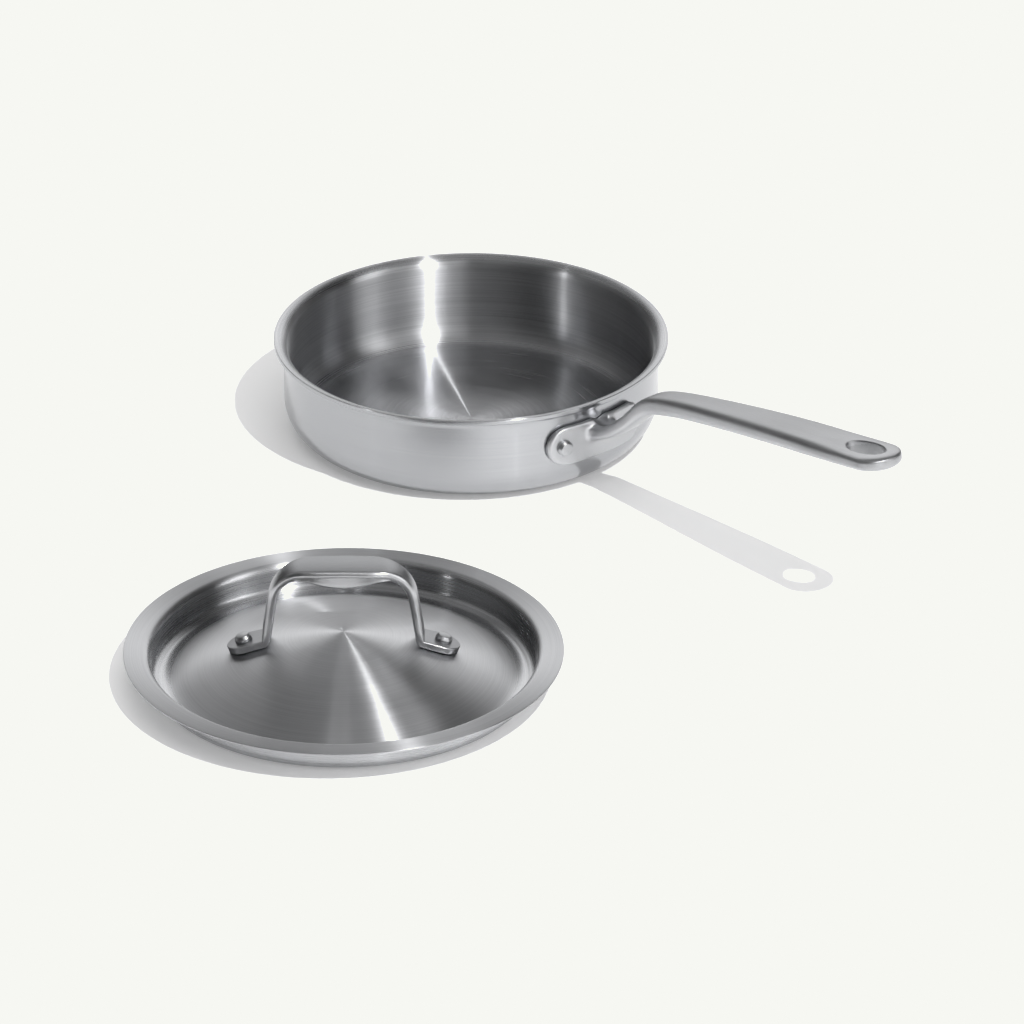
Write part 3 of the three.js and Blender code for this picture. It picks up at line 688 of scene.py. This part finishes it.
def edge_mask(v, half, soft):
    m = wnew("ShaderNodeMapRange")
    m.interpolation_type = "SMOOTHSTEP"
    m.inputs["From Min"].default_value, m.inputs["From Max"].default_value = half + soft, half - soft
    wlink(v, m.inputs["Value"])
    return m.outputs["Result"]


way = wnew("ShaderNodeTexCoord").outputs["Generated"]
split = wnew("ShaderNodeSeparateXYZ")
wlink(way, split.inputs[0])
rise = math_node("ARCSINE", split.outputs[2])
level = None
for az, el, hw, hh, soft, amount in PANELS:
    spin = wnew("ShaderNodeVectorRotate")
    spin.rotation_type = "Z_AXIS"
    spin.inputs["Angle"].default_value = math.radians(-az)
    wlink(way, spin.inputs["Vector"])
    sep = wnew("ShaderNodeSeparateXYZ")
    wlink(spin.outputs[0], sep.inputs[0])
    turn_ = math_node("ABSOLUTE", math_node("ARCTAN2", sep.outputs[1], sep.outputs[0]))
    lift = math_node("ABSOLUTE", math_node("SUBTRACT", rise, math.radians(el)))
    mask = edge_mask(lift, math.radians(hh), math.radians(soft))
    if hw < 180:
        mask = math_node("MULTIPLY", mask, edge_mask(turn_, math.radians(hw), math.radians(soft)))
    mask = math_node("MULTIPLY", mask, amount)
    level = mask if level is None else math_node("ADD", level, mask)
wlink(math_node("ADD", level, ROOM), back.inputs["Color"])
plain = wnew("ShaderNodeBackground")
plain.inputs["Color"].default_value = BACKDROP
path_ = wnew("ShaderNodeLightPath")
mix = wnew("ShaderNodeMixShader")
wlink(path_.outputs["Is Camera Ray"], mix.inputs[0])
wlink(back.outputs[0], mix.inputs[1])
wlink(plain.outputs[0], mix.inputs[2])
wlink(mix.outputs[0], wt.nodes["World Output"].inputs["Surface"])


def lamp(name, kind, place, aim, power, size=None, size_y=None, shape="RECTANGLE"):
    data = bpy.data.lights.new(name, kind)
    data.energy = power
    if kind == "AREA":
        data.shape = shape
        data.size = size
        if size_y:
            data.size_y = size_y
    elif size is not None:
        data.shadow_soft_size = size
    ob = bpy.data.objects.new(name, data)
    scene.collection.objects.link(ob)
    ob.location = place
    ob.rotation_euler = (Vector(aim) - Vector(place)).to_track_quat("-Z", "Y").to_euler()
    return ob


KEY = (1.849, -0.224, 2.665)
# the key lamp, once for the pale floor and once each for the steel of the pan and of the lid
lamp("key_floor", "POINT", KEY, (0, 0, 0), 265, 0.02).visible_glossy = False
for name, az, pieces in (("pan", -6.3, (pan, handle, rivets[0], rivets[1])), ("lid", -2.0, (lid, strap, rivets[2], rivets[3]))):
    far, a = math.hypot(KEY[0], KEY[1]), math.radians(az)
    ob = lamp("key_" + name, "POINT", (far * math.cos(a), far * math.sin(a), KEY[2]), (0, 0, 0), 125, 0.02)
    ob.visible_diffuse = False
    lit = bpy.data.collections.new("lit by key_" + name)
    for piece in pieces:
        lit.objects.link(piece)
    ob.light_linking.receiver_collection = lit
# the steel wall throws some of the lamp's light back on the floor in front of it
pool = lamp("pool", "SPOT", KEY, (0.188, -0.060, 0), 190, 0.02)
pool.data.spot_size, pool.data.spot_blend = math.radians(3.8), 1.0
pool.visible_glossy = False
lamp("fill", "AREA", (0.1, -0.1, 2.6), (0.1, -0.1, 0), 36, 3.4, 3.4).visible_glossy = False


def glint(name, az, el, power, aim, size=0.03, far=3.0):
    """A narrow spot on the pan or the lid that the steel mirrors and the floor does not take."""
    a, e = math.radians(az), math.radians(el)
    ob = lamp(name, "SPOT", (far * math.cos(e) * math.cos(a), far * math.cos(e) * math.sin(a), far * math.sin(e)), aim, power, size)
    ob.data.spot_size, ob.data.spot_blend = math.radians(6.0), 0.15
    ob.visible_diffuse = False


ON_PAN, ON_LID = (0, 0, 0.03), (LID_X * MM, LID_Y * MM, 0.02)
glint("glint_low", -11.4, 42, 75, ON_PAN)
glint("glint_out", -20, 5, 70, ON_PAN, 0.3)
glint("glint_left", -100.5, 12, 28, ON_PAN, 0.12)
glint("glint_front_a", -42, 60, 4, ON_LID, 0.01)
glint("glint_front_b", -54, 60, 5, ON_LID, 0.01)

cam_data = bpy.data.cameras.new("camera")
cam = bpy.data.objects.new("camera", cam_data)
scene.collection.objects.link(cam)
cam_data.sensor_fit = "HORIZONTAL"
cam_data.sensor_width = 36
cam_data.lens = 246.09
cam_data.clip_end = 50
cam.location = (2.610, -2.2777, 1.6961)
cam.rotation_euler = (math.radians(63.174), 0, math.radians(48.518))
scene.camera = cam

scene.view_settings.view_transform = "Standard"
scene.view_settings.look = "None"
scene.view_settings.exposure = 0.0
# the film's white is the pale floor's
scene.view_settings.use_curve_mapping = True
film = scene.view_settings.curve_mapping
film.extend = "HORIZONTAL"
for channel, top in zip(film.curves, BACKDROP[:3]):
    channel.points[1].location = (1.0, top)
    mid = channel.points.new(top, top)
    for pt in channel.points:
        pt.handle_type = "VECTOR"
film.update()
